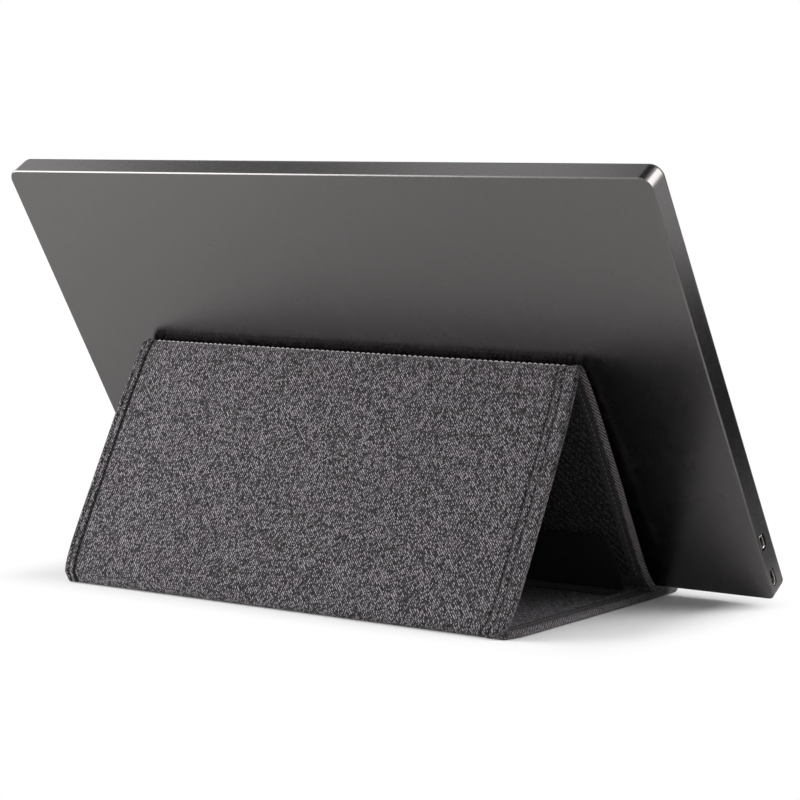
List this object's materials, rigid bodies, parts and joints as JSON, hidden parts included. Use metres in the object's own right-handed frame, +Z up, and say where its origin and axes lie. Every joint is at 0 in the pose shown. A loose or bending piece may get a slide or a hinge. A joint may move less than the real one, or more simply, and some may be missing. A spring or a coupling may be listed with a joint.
{
  "type": "portable monitor with cover",
  "caption": "Slim portable monitor leaning on its cloth cover, which is folded into a three-sided stand with a lip under the screen.",
  "frame": {"origin": "on the table face of the folded cover, under the middle of the screen unit's lower back edge", "axes": "+X to the right as the user sees the screen, +Y from the screen to the back, +Z up"},
  "size_m": [0.3596, 0.1528, 0.2013],
  "materials": {
    "housing_metal": "dark grey, fine satin",
    "frame_plastic": "black, fine matt",
    "screen_glass": "anti-glare, dark",
    "film": "white, translucent look",
    "clear_plastic": "clear look, polished",
    "lamp": "pale yellow",
    "sheet_metal": "plain",
    "tray_metal": "plain",
    "circuit_board": "green, satin",
    "chip_plastic": "black",
    "socket_metal": "bright",
    "ribbon": "amber, smooth",
    "button_plastic": "dark grey, satin",
    "outer_cloth": "charcoal melange weave",
    "inner_cloth": "dark charcoal ribbed weave",
    "lining_cloth": "black, smooth",
    "stiffener": "grey board",
    "grip_rubber": "black, fine grained",
    "thread": "light grey twisted",
    "magnet": "plated"
  },
  "bodies": {
    "cover_base": {"base_outer_cloth": "outer_cloth", "base_outer_board": "stiffener", "base_lining": "lining_cloth", "base_inner_board": "stiffener", "base_inner_cloth": "inner_cloth", "base_hem": "outer_cloth", "lip_grip": "grip_rubber", "flap_strip": "inner_cloth", "rear_crease": "outer_cloth"},
    "cover_prop": {"prop_outer_cloth": "outer_cloth", "prop_outer_board": "stiffener", "prop_lining": "lining_cloth", "prop_inner_board": "stiffener", "prop_inner_cloth": "inner_cloth", "prop_hems": "outer_cloth", "apex_crease": "outer_cloth", "apex_thread": "thread"},
    "cover_rest": {"rest_outer_cloth": "outer_cloth", "rest_outer_board": "stiffener", "rest_lining": "lining_cloth", "rest_inner_board": "stiffener", "rest_inner_cloth": "inner_cloth", "rest_hem": "outer_cloth", "catch_plates": "sheet_metal"},
    "cover_flap": {"flap_foot": "inner_cloth", "flap_cloth": "inner_cloth", "flap_core": "stiffener", "flap_magnets": "magnet", "flap_lining": "lining_cloth"},
    "screen_unit": {"rear_housing": "housing_metal", "front_frame": "frame_plastic", "lcd_glass": "screen_glass", "optical_films": "film", "light_guide": "clear_plastic", "light_bar": "film", "lamps": "lamp", "reflector_sheet": "film", "backlight_tray": "tray_metal", "screen_board": "circuit_board", "support_plate": "sheet_metal", "main_board": "circuit_board", "board_chips": "chip_plastic", "board_shield": "sheet_metal", "usb_c_socket": "socket_metal", "usb_c_tongue": "chip_plastic", "micro_hdmi_socket": "socket_metal", "micro_hdmi_tongue": "chip_plastic", "display_ribbon": "ribbon", "button_board": "circuit_board", "button_ribbon": "ribbon", "button_switches": "chip_plastic", "status_lamp_lens": "clear_plastic", "plate_screws": "sheet_metal", "board_screws": "sheet_metal"},
    "power_button": {"power_button": "button_plastic"},
    "menu_button": {"menu_button": "button_plastic"},
    "up_button": {"up_button": "button_plastic"},
    "down_button": {"down_button": "button_plastic"}
  },
  "joints": [
    {"name": "rear_fold", "type": "hinge", "parent": "cover_base", "child": "cover_prop", "pos_m": [0.0065, 0.12718, 0.0036], "axis": [1, 0, 0], "range_deg": [-118, 0], "deforming": ["rear_crease"]},
    {"name": "apex_fold", "type": "hinge", "parent": "cover_prop", "child": "cover_rest", "pos_m": [0.0065, 0.06917, 0.10956], "axis": [1, 0, 0], "range_deg": [0, 53.69], "deforming": ["apex_crease"]},
    {"name": "flap_fold", "type": "hinge", "parent": "cover_base", "child": "cover_flap", "pos_m": [0.0065, 0.01314, 0.0045], "axis": [1, 0, 0], "range_deg": [-60.18, 0]},
    {"name": "screen_lift", "type": "slide", "parent": "cover_base", "child": "screen_unit", "axis": [0, 0.5195, 0.8545], "range_m": [0, 0.08]},
    {"name": "power_press", "type": "slide", "parent": "screen_unit", "child": "power_button", "axis": [-1, 0, 0], "range_m": [0, 0.00035], "stiffness_N_per_m": 900},
    {"name": "menu_press", "type": "slide", "parent": "screen_unit", "child": "menu_button", "axis": [-1, 0, 0], "range_m": [0, 0.00035], "stiffness_N_per_m": 900},
    {"name": "up_press", "type": "slide", "parent": "screen_unit", "child": "up_button", "axis": [-1, 0, 0], "range_m": [0, 0.00035], "stiffness_N_per_m": 900},
    {"name": "down_press", "type": "slide", "parent": "screen_unit", "child": "down_button", "axis": [-1, 0, 0], "range_m": [0, 0.00035], "stiffness_N_per_m": 900}
  ],
  "couplings": [
    {"joint": "apex_fold", "follows": "rear_fold", "ratio": -0.455},
    {"joint": "flap_fold", "follows": "rear_fold", "ratio": 0.51}
  ]
}
